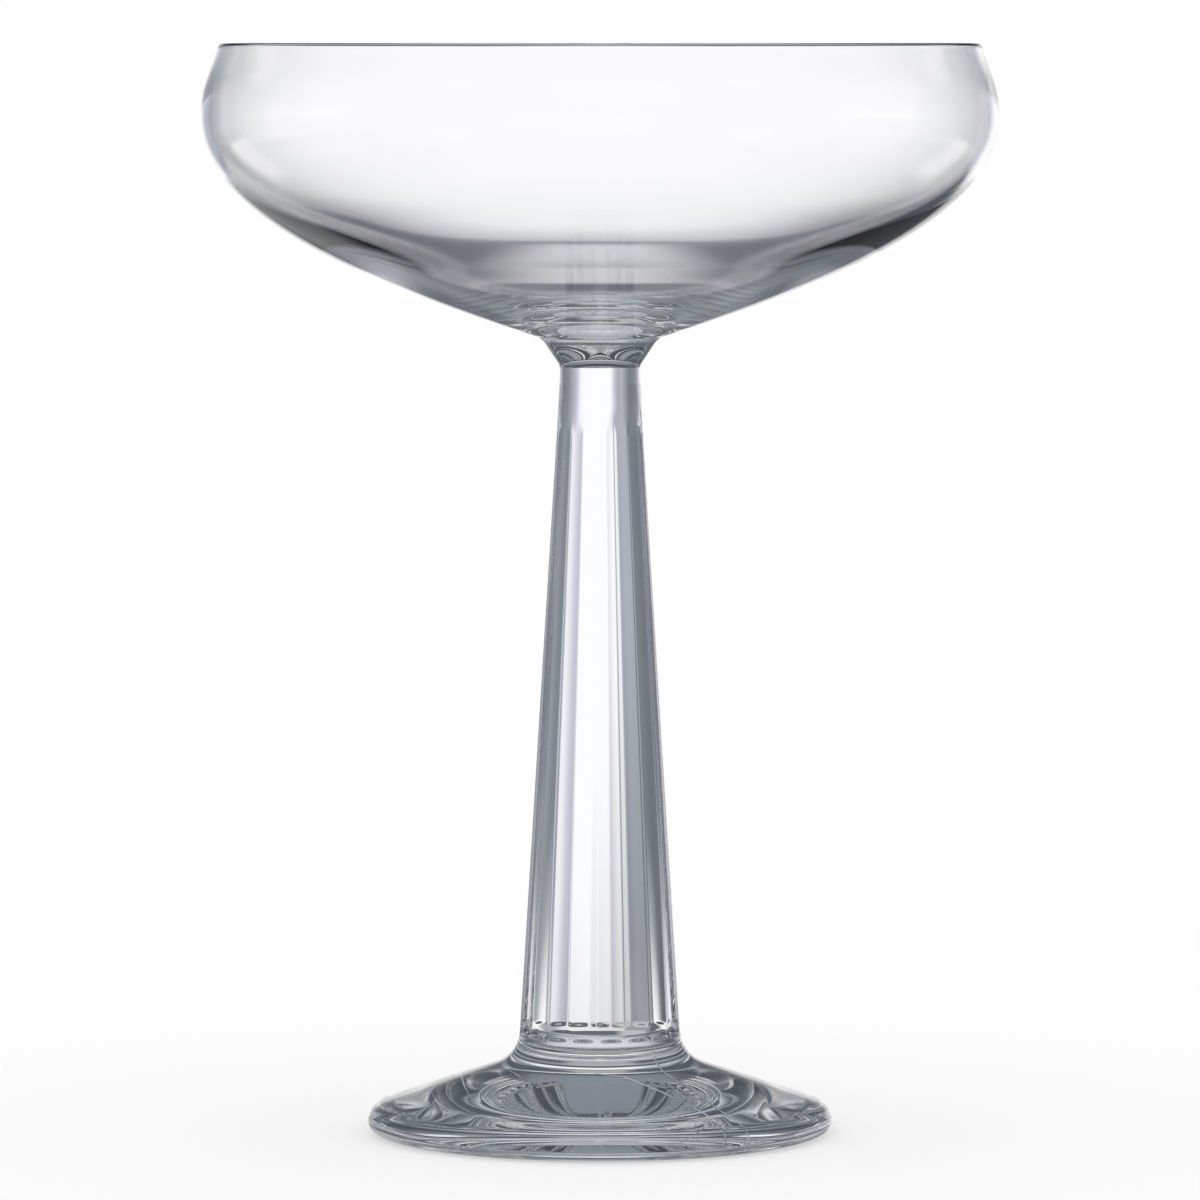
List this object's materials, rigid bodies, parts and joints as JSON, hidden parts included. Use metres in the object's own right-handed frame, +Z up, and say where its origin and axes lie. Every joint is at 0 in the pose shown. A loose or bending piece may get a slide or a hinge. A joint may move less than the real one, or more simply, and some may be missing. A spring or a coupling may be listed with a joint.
{
  "type": "coupe glass",
  "caption": "Stemmed coupe glass with a shallow round bowl, a fluted tapering stem and a sloping round foot.",
  "frame": {"origin": "centre of the foot at table level, on the glass's axis", "axes": "+Z up along the axis of the stem; the glass is round about it, and X and Y are the two level directions"},
  "size_m": [0.1092, 0.1092, 0.15],
  "materials": {
    "blown_glass": "clear, fire-polished blown soda-lime glass",
    "pressed_glass": "clear, fire-polished pressed soda-lime glass"
  },
  "bodies": {
    "root": {"bowl": "blown_glass", "merese": "pressed_glass", "stem": "pressed_glass", "foot": "pressed_glass"}
  },
  "joints": []
}
